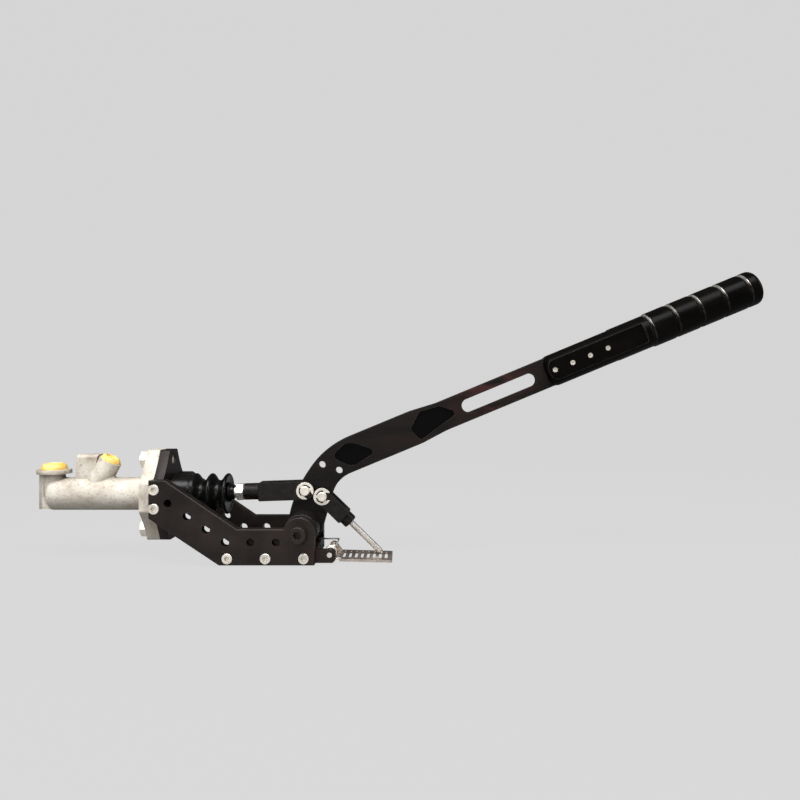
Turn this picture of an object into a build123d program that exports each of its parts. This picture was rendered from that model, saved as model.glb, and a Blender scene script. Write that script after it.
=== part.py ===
from build123d import *
from math import asin, atan2, cos, degrees, hypot, radians, sin, sqrt, tan
import os

os.makedirs("parts", exist_ok=True)

# Hydraulic hand brake: a cast master cylinder on a two-plate frame, worked by a long lever.
# Origin: underside of the base, under its middle side screw. +X towards the grip, +Y to the
# far side, +Z up. Y = 0 is the middle plane of the lever and the cylinder. Millimetres.

# Clearances
fit_gap = 0.05            # radial gap of a pin, shank or thread in its hole
slide_gap = 0.06          # radial gap of the piston in its bore
side_gap = 0.2            # each side of the lever in a fork
free_gap = 0.3            # between pieces that pass or nearly touch

# Pivot and lever links, as offsets from the pivot
pivot_x = 26.35
pivot_z = 24.9
push_pin_dx = 1.05        # pin of the push rod fork
push_pin_dz = 29.9
lock_pin_dx = 15.15       # pin of the lock rod fork
lock_pin_dz = 25.2
pin_r = 4.0

# Frame
frame_gap = 52.0          # clear width between the side plates
plate_t = 8.0
base_t = 10.0
base_rear = -36.3
base_front = 38.5
plate_top = 28.2          # upper edge of the plates' low part
lobe_r = 12.5             # plate corner round the pivot
post_rear = -91.5         # rear edge of the plates, where the cylinder bolts on
post_len = 13.0
post_h = 29.8
slope_end = -22.3         # where the upper edge turns level
relief_r = 3.35           # row of lightening holes
relief_pitch = 20.0
relief_step = 18.1        # pitch on the sloping part
relief_corner = (-31.5, 18.0)
relief_slope = 34.2
edge_break = 0.5          # chamfer of the cut plates' edges
base_screw_pitch = 30.0
post_screw_pitch = 15.0
mount_pitch_x = 30.0      # threaded holes that hold the base down
mount_pitch_y = 32.0
mount_hole_r = 3.4

# Fasteners
m8_r = 4.0
m8_af = 13.0
m8_head_r = 6.5
m8_head_h = 8.0
m8_hex_h = 5.3
m8_nut_t = 6.5
m8_socket_af = 6.0
m5_r = 2.5
m5_head_r = 4.25
m5_head_h = 5.0
m5_len = 12.0
m5_socket_af = 4.0
m5_recess_r = 5.0
washer_t = 1.6
washer_r = 8.0
lock_washer_t = 2.1
lock_washer_r = 7.3

# Pivot stack
sleeve_r = 6.0
bush_r = 8.0
spacer_r = 13.5

# Cylinder
axis_z = 51.5             # height of the bore
bore_r = 7.9375           # 0.625 inch bore
bore_end = -180.0
barrel_r = 13.5
barrel_end = -191.0
nose_r = 4.0              # drilled end of the bore
nose_len = 6.0
flange_t = 10.5
bracket_t = 8.0
flange_half_h = 37.0
flange_half_w = 26.0
flange_top_half = 9.0
flange_side_half = 11.5
flank_dip = (16.4, 23.5)  # point that hollows each sloping side
flange_round = 3.0
bolt_pitch = 57.15        # 2.25 inch
spigot_r = 15.0
spigot_end = -66.0
outlet_x = -183.2
outlet_disc_r = 13.4
outlet_disc_z0 = 68.4
outlet_disc_t = 3.4
outlet_neck_r = 8.5
rib_rear = -194.3
rib_half = 6.0
rib_bottom = 39.3
web_rear = -162.5
web_half = 5.5
web_top = 84.6
cast_r = 1.5              # where cast faces run together
root_r = 2.5
inlet_r = 9.2
inlet_tilt = 62.0         # from the horizontal, leaning to the frame
inlet_top = (-136.2, 79.2)
inlet_recess = 1.6
inlet_well_r = 4.5
inlet_well_depth = 17.0
port_r = 4.5
port_depth = 11.0
feed_r = 1.5
outlet_cap_r = 9.8
inlet_cap_r = 8.0
cap_h = 5.0
cap_dish_depth = 1.4
cap_stem_len = 6.0

# Bore mouth: stop washer and retaining ring
mouth_r = 9.0
mouth_depth = 4.0
stop_t = 1.5
stop_hole_r = 4.75
ring_t = 1.2
ring_groove_r = 9.7

# Piston group
ball_r = 5.5
neck_r = 3.5
neck_len = 30.0
ball_x = -73.0
cup_r = 6.4
push_gap = 0.35           # free play between ball and piston
piston_land = 18.0
seal_w = 4.0
seal_floor_r = 5.6
waist_r = 5.0
front_land_x = -147.5
front_land_t = 2.0
stem_r = 3.0
primary_t = 4.2
seat_t = 1.4
seat_r = 6.6
spring_r = 5.5
spring_wire_r = 0.7
spring_turns = 5
coil_steps = 12           # flats to a turn, in both springs

# Push rod fork
push_nut_from_pin = 57.6
push_boss_len = 12.5
push_boss_r = 6.9
push_fork_end = 51.6      # pin to the threaded end
fork_w = 16.0
push_fork_h = 15.0
push_slot_len = 32.0

# Lock rod and fork
lock_fork_end = 32.3
lock_boss_len = 6.5
lock_boss_r = 6.0
lock_fork_h = 12.5
lock_slot_len = 20.5
lock_rod_r = 2.4
lock_rod_len = 69.2       # pin to tip
lock_tip_r = 1.0
lock_tip_len = 3.0
lock_tip_gap = 0.15       # rest height of the tip over the catch plate

# Pins and clips
pin_head_r = 6.0
pin_head_t = 2.5
pin_end_len = 3.0
groove_r = 3.5
clip_t = 0.9
clip_r = 7.1
clip_inner_r = 5.1

# Lever: a straight arm whose centre line passes above the pivot
lever_t = 8.0
arm_angle = 22.5
arm_offset = 40.5         # pivot to the arm's centre line
arm_wide = 14.4           # half widths
arm_narrow = 12.25
taper_start = 117.0       # distances along the arm
taper_end = 139.5
shoulder_start = 63.0
throat = 39.6
throat_r = 26.0
taper_r = 40.0
foot_r = 14.6
link_hole_r = 3.0
link_shift = (13.45, 21.0)
window_s = 191.75
window_len = 66.5
window_w = 11.0
pocket_depth = 2.6

# Grip
grip_start = 233.5
grip_end = 426.5
grip_r = 14.5
shank_grip_r = 13.8
flat_half = 11.0
flat_end = 320.0
groove_first = 325.9
groove_pitch = 21.4
groove_count = 5
groove_w = 3.0
groove_depth = 1.7
tongue_end = 295.0
grip_screw_first = 240.3
grip_screw_pitch = 15.6
grip_screw_count = 4
grip_screw_r = 2.0
grip_socket_af = 2.0

# Catch plate
hinge_x = 49.5
hinge_z = 6.2
hinge_r = 2.0
hinge_head_r = 3.2
hinge_head_t = 1.5
ear_w = 7.0
ear_front = 54.0
catch_tilt = -1.5
catch_t = 2.0
catch_rear = 7.5          # distances from the hinge, along the plate
catch_front = 50.0
catch_near = -20.0
catch_far = 12.0
lug_r = 3.4
lug_t = 3.0
lug_inner = 8.0
slot_first = 10.2
slot_pitch = 4.95
slot_count = 8
slot_w = 2.5
slot_len = 21.0
slot_mid = -3.0
coil_wire_r = 0.65
coil_turns = 3.5
coil_pitch = 1.7
leg_bend_r = 1.8
coil_notch = 2.0          # depth of the notch its leg sits in

# Boot
boot_wall = 1.6
boot_rear = -64.6
boot_end = -32.0
boot_peak_r = 15.95
boot_valley_r = 10.3
boot_fold = 6.65          # from a peak to the next valley


# Places worked out from the sizes above
half_gap = frame_gap / 2
outer_y = half_gap + plate_t
lever_half = lever_t / 2
slot_half = lever_half + side_gap
fork_half = fork_w / 2
bracket_front = post_rear + bracket_t
flange_rear = post_rear - flange_t
push_pin = (pivot_x + push_pin_dx, pivot_z + push_pin_dz)
lock_pin = (pivot_x + lock_pin_dx, pivot_z + lock_pin_dz)
push_len = hypot(push_pin[0] - ball_x, push_pin[1] - axis_z)
push_tilt = degrees(atan2(push_pin[1] - axis_z, push_pin[0] - ball_x))
piston_rear = spigot_end - mouth_depth - side_gap / 2

centre = Align.CENTER
low = Align.MIN
high = Align.MAX


def near_plane(y, x=0.0, z=0.0, tilt=0.0):
    """A side-view plane: local x runs forwards, local y up, and its normal faces the near side."""
    return Plane(origin=(x, y, z), x_dir=(cos(radians(tilt)), 0, sin(radians(tilt))), z_dir=(0, -1, 0))


def arm(s, t):
    """A point of the side view, s along the arm's centre line and t square to it."""
    c = cos(radians(arm_angle))
    n = sin(radians(arm_angle))
    return (pivot_x + s * c - (arm_offset + t) * n, pivot_z + s * n + (arm_offset + t) * c)


def from_pivot(dx, dz):
    return (pivot_x + dx, pivot_z + dz)


def along_x(x):
    """A plane square to the cylinder's axis, its origin on that axis."""
    return Plane(origin=(x, 0, axis_z), x_dir=(0, 1, 0), z_dir=(1, 0, 0))


def turned(points, plane):
    """A turned solid: the points are (distance along the plane's x, radius)."""
    with BuildPart() as piece:
        with BuildSketch(plane):
            with BuildLine():
                Polyline(*points, close=True)
            make_face()
        revolve(axis=Axis(plane.origin, plane.x_dir))
    return piece.part


def hex_blank(across, thickness):
    """A hexagon with both ends turned off at 30 degrees, standing on Z = 0."""
    corner_r = across / sqrt(3)
    rise = (corner_r - across / 2) * tan(radians(30))
    with BuildPart() as blank:
        with BuildSketch():
            RegularPolygon(across / 2, 6, major_radius=False)
        extrude(amount=thickness)
        with BuildSketch(Plane.XZ):
            with BuildLine():
                Polyline((0, 0), (across / 2, 0), (corner_r, rise), (corner_r, thickness - rise),
                         (across / 2, thickness), (0, thickness), close=True)
            make_face()
        revolve(axis=Axis.Z, mode=Mode.INTERSECT)
    return blank.part


def cap_screw(shank_r, length, head_r, head_h, socket_af):
    """A socket cap screw: its head stands on Z = 0 and its shank points down."""
    with BuildPart() as screw:
        Cylinder(head_r, head_h, align=(centre, centre, low))
        chamfer(screw.edges().group_by(Axis.Z)[-1], head_r * 0.08)
        Cylinder(shank_r, length, align=(centre, centre, high))
        chamfer(screw.edges().group_by(Axis.Z)[0], shank_r * 0.2)
        with BuildSketch(Plane.XY.offset(head_h)):
            RegularPolygon(socket_af / 2, 6, major_radius=False)
        extrude(amount=-head_h * 0.55, mode=Mode.SUBTRACT)
    return screw.part


def e_clip(thickness):
    """A retaining clip: a ring with three tabs in the pin's groove, open towards local +X."""
    grip_r_in = groove_r + fit_gap
    with BuildPart() as clip:
        with BuildSketch():
            Circle(clip_r)
            Circle(clip_inner_r, mode=Mode.SUBTRACT)
            with PolarLocations((grip_r_in + clip_inner_r + 0.4) / 2, 3, start_angle=60):
                Rectangle(clip_inner_r + 0.4 - grip_r_in, 2.6)
            Circle(grip_r_in, mode=Mode.SUBTRACT)
            with Locations((clip_r, 0)):
                Rectangle(2 * clip_r, 2 * groove_r * 0.86, mode=Mode.SUBTRACT)
        extrude(amount=thickness)
    return clip.part


def clevis_pin():
    """A headed pin with a clip groove, lying along local Z, its head below the far fork ear."""
    end = fork_half + pin_end_len
    groove_z = fork_half + side_gap / 2
    points = [(-fork_half - pin_head_t, 0), (-fork_half - pin_head_t, pin_head_r - 0.6),
              (-fork_half - pin_head_t + 0.6, pin_head_r), (-fork_half, pin_head_r), (-fork_half, pin_r),
              (groove_z, pin_r), (groove_z, groove_r), (groove_z + clip_t + side_gap / 2, groove_r),
              (groove_z + clip_t + side_gap / 2, pin_r), (end - 0.6, pin_r), (end, pin_r - 0.6), (end, 0)]
    return turned(points, Plane(origin=(0, 0, 0), x_dir=(0, 0, 1), z_dir=(0, -1, 0)))


def fork(plane, end_len, boss_len, boss_r, height, slot_len, bore_len):
    """A fork with its pin at the plane's origin and its threaded boss out along local x."""
    block_end = end_len - boss_len
    with BuildPart(plane) as piece:
        with BuildSketch(plane):
            Circle(height / 2)
            Rectangle(block_end, height, align=(low, centre))
        extrude(amount=fork_half, both=True)
        chamfer(piece.faces().sort_by(Axis(plane.origin, plane.x_dir))[-1].edges(), 1.0)
        with BuildSketch(Plane(origin=plane.origin, x_dir=(0, -1, 0), z_dir=plane.x_dir).offset(block_end)):
            Circle(boss_r)
        extrude(amount=boss_len)
        chamfer(piece.faces().sort_by(Axis(plane.origin, plane.x_dir))[-1].edges(), 0.8)
        with BuildSketch(plane):
            Rectangle(2 * slot_len, 2 * height, align=(centre, centre))
        extrude(amount=slot_half, both=True, mode=Mode.SUBTRACT)
        with BuildSketch(plane):
            Circle(pin_r + fit_gap)
        extrude(amount=fork_w, both=True, mode=Mode.SUBTRACT)
        with BuildSketch(Plane(origin=plane.origin, x_dir=(0, -1, 0), z_dir=plane.x_dir).offset(end_len)):
            Circle(bore_len[1] + fit_gap)
        extrude(amount=-bore_len[0], mode=Mode.SUBTRACT)
    return piece.part


def wire_piece(points, wire_r):
    """Round wire through the points, drawn with eight flats so that its mesh stays light."""
    side = None
    with BuildPart() as piece:
        for i in range(len(points)):
            along = (Vector(points[min(i + 1, len(points) - 1)]) - Vector(points[max(i - 1, 0)])).normalized()
            side = along.cross(Vector(0, 1, 0.01)) if side is None else side - along * side.dot(along)
            with BuildSketch(Plane(origin=points[i], x_dir=side, z_dir=along)):
                RegularPolygon(wire_r, 8)
        loft(ruled=True)
    return piece.part


def corner_bend(corner, before, after, radius):
    """Points round a square corner of a wire that runs along the directions before and after."""
    spots = []
    for i in range(4):
        turn = radians(90 * i / 3)
        spots.append(Vector(corner) - Vector(before) * radius * (1 - sin(turn))
                     + Vector(after) * radius * (1 - cos(turn)))
    return spots


def finish(piece, name):
    """Label a finished piece and write it."""
    piece.label = name
    export_step(piece, f"parts/{name}.step")


# Side plates
slope = radians(relief_slope)
relief_spots = [relief_corner]
for i in range(1, 4):
    relief_spots.append((relief_corner[0] - i * relief_step * cos(slope),
                         relief_corner[1] + i * relief_step * sin(slope)))
for i in range(1, 3):
    relief_spots.append((relief_corner[0] + i * relief_pitch, relief_corner[1]))
screw_spots = [(-base_screw_pitch, base_t / 2), (0, base_t / 2), (base_screw_pitch, base_t / 2)]
post_screw_x = post_rear + bracket_t / 2
screw_spots += [(post_screw_x, axis_z - post_screw_pitch / 2), (post_screw_x, axis_z + post_screw_pitch / 2)]


def side_plate(inner_y, outward):
    """A side plate; outward is -1 on the near side and 1 on the far side."""
    plane = near_plane(inner_y)
    with BuildPart() as plate:
        with BuildSketch(plane):
            with BuildLine():
                Polyline((base_front, 0), (base_rear, 0), (post_rear, axis_z - post_h / 2),
                         (post_rear, axis_z + post_h / 2), (post_rear + post_len, axis_z + post_h / 2),
                         (slope_end, plate_top), (pivot_x, plate_top), (base_front, pivot_z), close=True)
            make_face()
            with Locations((pivot_x, pivot_z)):
                Circle(lobe_r)
            with Locations(*relief_spots):
                Circle(relief_r, mode=Mode.SUBTRACT)
            with Locations((pivot_x, pivot_z)):
                Circle(m8_r + fit_gap, mode=Mode.SUBTRACT)
            with Locations(*screw_spots):
                Circle(m5_r + fit_gap, mode=Mode.SUBTRACT)
        extrude(amount=-outward * plate_t)
        outer = plate.faces().sort_by(Axis.Y)[-1 if outward > 0 else 0]
        chamfer(outer.outer_wire().edges(), edge_break)
        with BuildSketch(near_plane(inner_y + outward * plate_t)):
            with Locations(*screw_spots):
                Circle(m5_recess_r)
        extrude(amount=outward * m5_head_h, mode=Mode.SUBTRACT)
    return plate.part


finish(side_plate(-half_gap, -1), "side_plate_near")
finish(side_plate(half_gap, 1), "side_plate_far")

# Base plate with the near ear that carries the catch
with BuildPart() as base_plate:
    with BuildSketch():
        with BuildLine():
            Polyline((base_rear, -half_gap), (ear_front, -half_gap), (ear_front, ear_w - half_gap),
                     (base_front, ear_w - half_gap), (base_front, half_gap), (base_rear, half_gap),
                     close=True)
        make_face()
        with GridLocations(mount_pitch_x, mount_pitch_y, 2, 2):
            Circle(mount_hole_r, mode=Mode.SUBTRACT)
    extrude(amount=base_t)
    front_faces = base_plate.faces().sort_by(Axis.X)[-1]
    chamfer(front_faces.edges().filter_by(Axis.Y), 2.0)
    for y, way in ((-half_gap, 1), (half_gap, -1)):
        with BuildSketch(near_plane(y)):
            with Locations(*screw_spots[:3]):
                Circle(m5_r + fit_gap)
        extrude(amount=-way * (m5_len - (plate_t - m5_head_h) + 1), mode=Mode.SUBTRACT)
    with BuildSketch(near_plane(-half_gap)):
        with Locations((hinge_x, hinge_z)):
            Circle(hinge_r + fit_gap)
    extrude(amount=-ear_w, mode=Mode.SUBTRACT)
finish(base_plate.part, "base_plate")


def lozenge():
    """The outline that the bracket and the cylinder's flange share, as a face across the axis."""
    with BuildSketch() as outline:
        with BuildLine():
            for sy in (1, -1):
                for sz in (1, -1):
                    Line((0, sz * flange_half_h), (sy * flange_top_half, sz * flange_half_h))
                    ThreePointArc((sy * flange_top_half, sz * flange_half_h),
                                  (sy * flank_dip[0], sz * flank_dip[1]),
                                  (sy * flange_half_w, sz * flange_side_half))
                    Line((sy * flange_half_w, sz * flange_side_half), (sy * flange_half_w, 0))
        make_face()
        corners = [v for v in outline.vertices() if abs(v.X) > 1 and abs(v.Y) > 1]
        fillet(corners, flange_round)
    return outline.sketch


# Front bracket
with BuildPart() as front_bracket:
    with BuildSketch(along_x(post_rear)):
        add(lozenge())
        Circle(spigot_r + side_gap / 2, mode=Mode.SUBTRACT)
        with GridLocations(0, bolt_pitch, 1, 2):
            Circle(m8_r + fit_gap, mode=Mode.SUBTRACT)
    extrude(amount=bracket_t)
    for y, way in ((-half_gap, 1), (half_gap, -1)):
        with BuildSketch(near_plane(y)):
            with Locations(*screw_spots[3:]):
                Circle(m5_r + fit_gap)
        extrude(amount=-way * (half_gap - spigot_r), mode=Mode.SUBTRACT)
finish(front_bracket.part, "front_bracket")

# Screws that join the side plates to the base and the bracket
plate_screw = cap_screw(m5_r, m5_len, m5_head_r, m5_head_h, m5_socket_af)
with BuildPart(near_plane(m5_head_h - outer_y)) as side_screws_near:
    with Locations(*screw_spots):
        add(plate_screw)
finish(side_screws_near.part, "side_screws_near")

with BuildPart(near_plane(m5_head_h - outer_y)) as far_side_seed:
    with Locations(*screw_spots):
        add(plate_screw)
with BuildPart() as side_screws_far:
    add(mirror(far_side_seed.part, about=Plane.XZ))
finish(side_screws_far.part, "side_screws_far")

# Pivot: bolt, washer and nut, two spacers, and a sleeve that the lever's bush turns on
bolt_len = 2 * outer_y + washer_t + m8_nut_t + 2.0
pivot_bolt = cap_screw(m8_r, bolt_len, m8_head_r, m8_head_h, m8_socket_af)
finish(pivot_bolt.moved(near_plane(-outer_y, pivot_x, pivot_z).location), "pivot_bolt")

with BuildPart() as pivot_washer:
    with BuildSketch(near_plane(outer_y + washer_t, pivot_x, pivot_z)):
        Circle(washer_r)
        Circle(m8_r + fit_gap, mode=Mode.SUBTRACT)
    extrude(amount=washer_t)
finish(pivot_washer.part, "pivot_washer")

with BuildPart() as pivot_nut:
    nut_face = near_plane(outer_y + washer_t + m8_nut_t, pivot_x, pivot_z)
    add(hex_blank(m8_af, m8_nut_t).moved(nut_face.location))
    with BuildSketch(nut_face):
        Circle(m8_r + fit_gap)
    extrude(amount=m8_nut_t, mode=Mode.SUBTRACT)
finish(pivot_nut.part, "pivot_nut")

sleeve_half = slot_half
for name, start in (("pivot_spacer_near", -sleeve_half), ("pivot_spacer_far", half_gap)):
    with BuildPart() as spacer:
        with BuildSketch(near_plane(start, pivot_x, pivot_z)):
            Circle(spacer_r)
            Circle(m8_r + fit_gap, mode=Mode.SUBTRACT)
        extrude(amount=half_gap - sleeve_half)
        chamfer(spacer.edges().filter_by(GeomType.CIRCLE).sort_by(SortBy.RADIUS)[-2:], edge_break)
    finish(spacer.part, name)

with BuildPart() as pivot_sleeve:
    with BuildSketch(near_plane(0, pivot_x, pivot_z)):
        Circle(sleeve_r)
        Circle(m8_r + fit_gap, mode=Mode.SUBTRACT)
    extrude(amount=sleeve_half, both=True)
finish(pivot_sleeve.part, "pivot_sleeve")

def rings(piece, radius):
    """The round edges of this radius."""
    return [edge for edge in piece.edges().filter_by(GeomType.CIRCLE) if abs(edge.radius - radius) < 0.01]


def cast_seams(piece):
    """The curved lines where the casting's web, boss and neck run into its barrel."""
    outside = [edge for edge in piece.edges() if edge.center().Z > axis_z + barrel_r * 0.7]
    seams = [edge for edge in outside if edge.geom_type == GeomType.BSPLINE and edge.center().X > outlet_x]
    feet = [edge for edge in outside if edge.geom_type == GeomType.ELLIPSE]
    return seams + [edge for edge in feet if edge.center().Z < axis_z + barrel_r]


# Master cylinder casting
disc_top = outlet_disc_z0 + outlet_disc_t
inlet_plane = Plane(origin=(inlet_top[0], 0, inlet_top[1]), x_dir=(0, 1, 0),
                    z_dir=(cos(radians(inlet_tilt)), 0, sin(radians(inlet_tilt))))
inlet_drop = (inlet_top[1] - axis_z) / sin(radians(inlet_tilt))
with BuildPart() as casting:
    with BuildSketch(Plane(origin=(0, 0, axis_z), x_dir=(1, 0, 0), z_dir=(0, -1, 0))):
        with BuildLine():
            Polyline((barrel_end, 0), (barrel_end, 2.0), (outlet_x + 0.5, barrel_r), (flange_rear, barrel_r),
                     (flange_rear, spigot_r), (spigot_end, spigot_r), (spigot_end, 0), close=True)
        make_face()
    revolve(axis=Axis((0, 0, axis_z), (1, 0, 0)))
    with BuildSketch(along_x(flange_rear)):
        add(lozenge())
    extrude(amount=flange_t)
    with BuildSketch(Plane.XY.offset(rib_bottom)):
        with Locations((rib_rear, 0)):
            rib = Rectangle(outlet_x - rib_rear, 2 * rib_half, align=(low, centre))
        fillet(rib.vertices().sort_by(Axis.X)[:2], rib_half * 0.7)
    extrude(amount=outlet_disc_z0 - rib_bottom)
    with BuildSketch(Plane.XY.offset(axis_z)):
        with Locations((outlet_x, 0)):
            Circle(outlet_neck_r)
    extrude(amount=outlet_disc_z0 - axis_z)
    with BuildSketch(Plane.XY.offset(outlet_disc_z0)):
        with Locations((outlet_x, 0)):
            Circle(outlet_disc_r)
    extrude(amount=outlet_disc_t)
    with BuildSketch(inlet_plane.offset(-inlet_drop)):
        Circle(inlet_r)
    extrude(amount=inlet_drop)
    with BuildSketch(near_plane(0)):
        with BuildLine():
            Polyline((web_rear - 1.2, axis_z), (web_rear, web_top),
                     (inlet_top[0] - inlet_r * sin(radians(inlet_tilt)), web_top),
                     (inlet_top[0] - inlet_drop * cos(radians(inlet_tilt)), axis_z), close=True)
        make_face()
    extrude(amount=web_half, both=True)
    top_edges = casting.edges().filter_by(Axis.X)
    fillet(top_edges.filter_by_position(Axis.Z, web_top - 0.1, web_top + 0.1), 3.0)
    # Bore, its mouth, the ring groove and the drilled end
    with BuildSketch(Plane(origin=(0, 0, axis_z), x_dir=(1, 0, 0), z_dir=(0, -1, 0))):
        with BuildLine():
            Polyline((bore_end - nose_len, 0), (bore_end - nose_len, nose_r), (bore_end, nose_r),
                     (bore_end, bore_r), (spigot_end - mouth_depth, bore_r),
                     (spigot_end - mouth_depth, mouth_r),
                     (spigot_end - mouth_depth + stop_t + 0.1, mouth_r),
                     (spigot_end - mouth_depth + stop_t + 0.1, ring_groove_r),
                     (spigot_end - mouth_depth + stop_t + 0.2 + ring_t, ring_groove_r),
                     (spigot_end - mouth_depth + stop_t + 0.2 + ring_t, mouth_r), (spigot_end, mouth_r),
                     (spigot_end, 0), close=True)
        make_face()
    revolve(axis=Axis((0, 0, axis_z), (1, 0, 0)), mode=Mode.SUBTRACT)
    with BuildSketch(Plane.XY.offset(disc_top)):
        with Locations((outlet_x, 0)):
            Circle(port_r)
    extrude(amount=-port_depth, mode=Mode.SUBTRACT)
    with BuildSketch(Plane.XY.offset(disc_top)):
        with Locations((outlet_x, 0)):
            Circle(feed_r)
    extrude(amount=axis_z - disc_top, mode=Mode.SUBTRACT)
    with BuildSketch(inlet_plane):
        Circle(inlet_cap_r + free_gap / 2)
    extrude(amount=-inlet_recess, mode=Mode.SUBTRACT)
    with BuildSketch(inlet_plane):
        Circle(inlet_well_r)
    extrude(amount=-inlet_well_depth, mode=Mode.SUBTRACT)
    with BuildSketch(inlet_plane):
        Circle(feed_r)
    extrude(amount=-(inlet_drop - bore_r / 2), mode=Mode.SUBTRACT)
    with BuildSketch(along_x(flange_rear)):
        with GridLocations(0, bolt_pitch, 1, 2):
            Circle(m8_r + fit_gap)
    extrude(amount=flange_t, mode=Mode.SUBTRACT)

# The round corners that a casting has
cylinder_body = casting.part.fillet(cast_r, cast_seams(casting.part))
roots = [edge for edge in rings(cylinder_body, barrel_r) if abs(edge.center().X - flange_rear) < 1]
cylinder_body = cylinder_body.fillet(root_r, roots)
web_sides = [edge for edge in cylinder_body.edges().filter_by(GeomType.LINE)
             if abs(abs(edge.center().Y) - web_half) < 0.01 and abs(edge.tangent_at(0.5).Z) > 0.5]
cylinder_body = cylinder_body.fillet(cast_r, [edge for edge in web_sides if edge.length > web_half])
neck_tops = [edge for edge in rings(cylinder_body, outlet_neck_r) if edge.center().Z > axis_z + barrel_r]
cylinder_body = cylinder_body.fillet(cast_r, neck_tops)
finish(cylinder_body, "cylinder_body")

# Plugs in the two ports
def port_cap(cap_r, foot, direction):
    """A domed plug with a shallow dish in its top and a stem that fits the port."""
    stem_fit_r = port_r - fit_gap
    points = [(-cap_stem_len, 0), (-cap_stem_len, stem_fit_r), (0, stem_fit_r), (0, cap_r),
              (cap_h * 0.4, cap_r), (cap_h * 0.72, cap_r * 0.93), (cap_h * 0.93, cap_r * 0.8),
              (cap_h, cap_r * 0.66), (cap_h, cap_r * 0.6), (cap_h - cap_dish_depth, cap_r * 0.52),
              (cap_h - cap_dish_depth, 0)]
    return turned(points, Plane(origin=foot, x_dir=direction, z_dir=(0, -1, 0)))


finish(port_cap(outlet_cap_r, (outlet_x, 0, disc_top), (0, 0, 1)), "outlet_cap")
cap_foot = inlet_plane.origin - inlet_plane.z_dir * inlet_recess
finish(port_cap(inlet_cap_r, cap_foot, inlet_plane.z_dir), "inlet_cap")

# Flange bolts and their spring washers
with BuildPart() as flange_bolts:
    with Locations(along_x(flange_rear - lock_washer_t)):
        with GridLocations(0, bolt_pitch, 1, 2):
            add(hex_blank(m8_af, m8_hex_h).moved(Location((0, 0, -m8_hex_h))))
            Cylinder(m8_r, flange_t + lock_washer_t + bracket_t - 1.0, align=(centre, centre, low))
finish(flange_bolts.part, "flange_bolts")

with BuildPart() as flange_washers:
    with BuildSketch(along_x(flange_rear - lock_washer_t)):
        with GridLocations(0, bolt_pitch, 1, 2):
            Circle(lock_washer_r)
            Circle(m8_r + fit_gap, mode=Mode.SUBTRACT)
        with GridLocations(0, bolt_pitch, 1, 2):
            with Locations((lock_washer_r - 1, 0)):
                Rectangle(2 * m8_r, 0.8, rotation=20, mode=Mode.SUBTRACT)
    extrude(amount=lock_washer_t)
finish(flange_washers.part, "flange_washers")

# Stop washer and retaining ring in the mouth of the bore
with BuildPart() as stop_washer:
    with BuildSketch(along_x(spigot_end - mouth_depth)):
        Circle(mouth_r - fit_gap)
        Circle(stop_hole_r, mode=Mode.SUBTRACT)
    extrude(amount=stop_t)
finish(stop_washer.part, "stop_washer")

ring_x = spigot_end - mouth_depth + stop_t + 0.15
with BuildPart() as retaining_ring:
    with BuildSketch(along_x(ring_x)):
        Circle(ring_groove_r - side_gap / 2)
        with Locations((0, 0.4)):
            Circle(ring_groove_r - 2.6, mode=Mode.SUBTRACT)
        with Locations((0, -ring_groove_r)):
            Rectangle(7.0, ring_groove_r, mode=Mode.SUBTRACT)
    extrude(amount=ring_t)
finish(retaining_ring.part, "retaining_ring")

# Piston, its seals, the spring seat and the return spring
bore_axis = Plane(origin=(0, 0, axis_z), x_dir=(1, 0, 0), z_dir=(0, -1, 0))
piston_r = bore_r - slide_gap
cup_floor = ball_x - ball_r - push_gap
seal_front = piston_rear - piston_land + 3.0
stem_end = front_land_x - front_land_t - primary_t - seat_t
piston = turned([(piston_rear, cup_r), (piston_rear, piston_r), (seal_front + seal_w, piston_r),
                 (seal_front + seal_w, seal_floor_r), (seal_front, seal_floor_r), (seal_front, piston_r),
                 (piston_rear - piston_land, piston_r), (piston_rear - piston_land, waist_r),
                 (front_land_x, waist_r), (front_land_x, piston_r), (front_land_x - front_land_t, piston_r),
                 (front_land_x - front_land_t, stem_r), (stem_end, stem_r), (stem_end, 0), (cup_floor, 0),
                 (cup_floor, cup_r)], bore_axis)
finish(piston, "piston")

seal_back = seal_front + seal_w - fit_gap
rear_seal = turned([(seal_front + fit_gap, seal_floor_r + fit_gap), (seal_front + fit_gap, bore_r - 0.1),
                    (seal_front + seal_w * 0.4, bore_r - 0.1), (seal_back, piston_r - 0.5),
                    (seal_back, seal_floor_r + fit_gap)], bore_axis)
finish(rear_seal, "rear_seal")

primary_x = front_land_x - front_land_t
cup_lip = primary_x - primary_t + 0.1
primary_cup = turned([(primary_x, stem_r + fit_gap), (primary_x, piston_r - 0.3), (cup_lip, bore_r - 0.02),
                      (cup_lip, bore_r - 1.2), (primary_x - 1.8, bore_r - 2.2),
                      (primary_x - 1.8, stem_r + 1.6), (cup_lip, stem_r + 1.2), (cup_lip, stem_r + fit_gap)],
                     bore_axis)
finish(primary_cup, "primary_cup")

seat_x = primary_x - primary_t
spring_seat = turned([(seat_x, stem_r + fit_gap), (seat_x, seat_r), (seat_x - seat_t, seat_r),
                      (seat_x - seat_t, stem_r + fit_gap)], bore_axis)
finish(spring_seat, "spring_seat")

spring_front = seat_x - seat_t - spring_wire_r - 0.1
spring_back = bore_end + spring_wire_r + 0.1
spring_steps = spring_turns * coil_steps
spring_points = []
for i in range(spring_steps + 1):
    turn = radians(360 * i / coil_steps)
    spring_points.append((spring_back + (spring_front - spring_back) * i / spring_steps,
                          spring_r * sin(turn), axis_z + spring_r * cos(turn)))
finish(wire_piece(spring_points, spring_wire_r), "return_spring")

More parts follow.
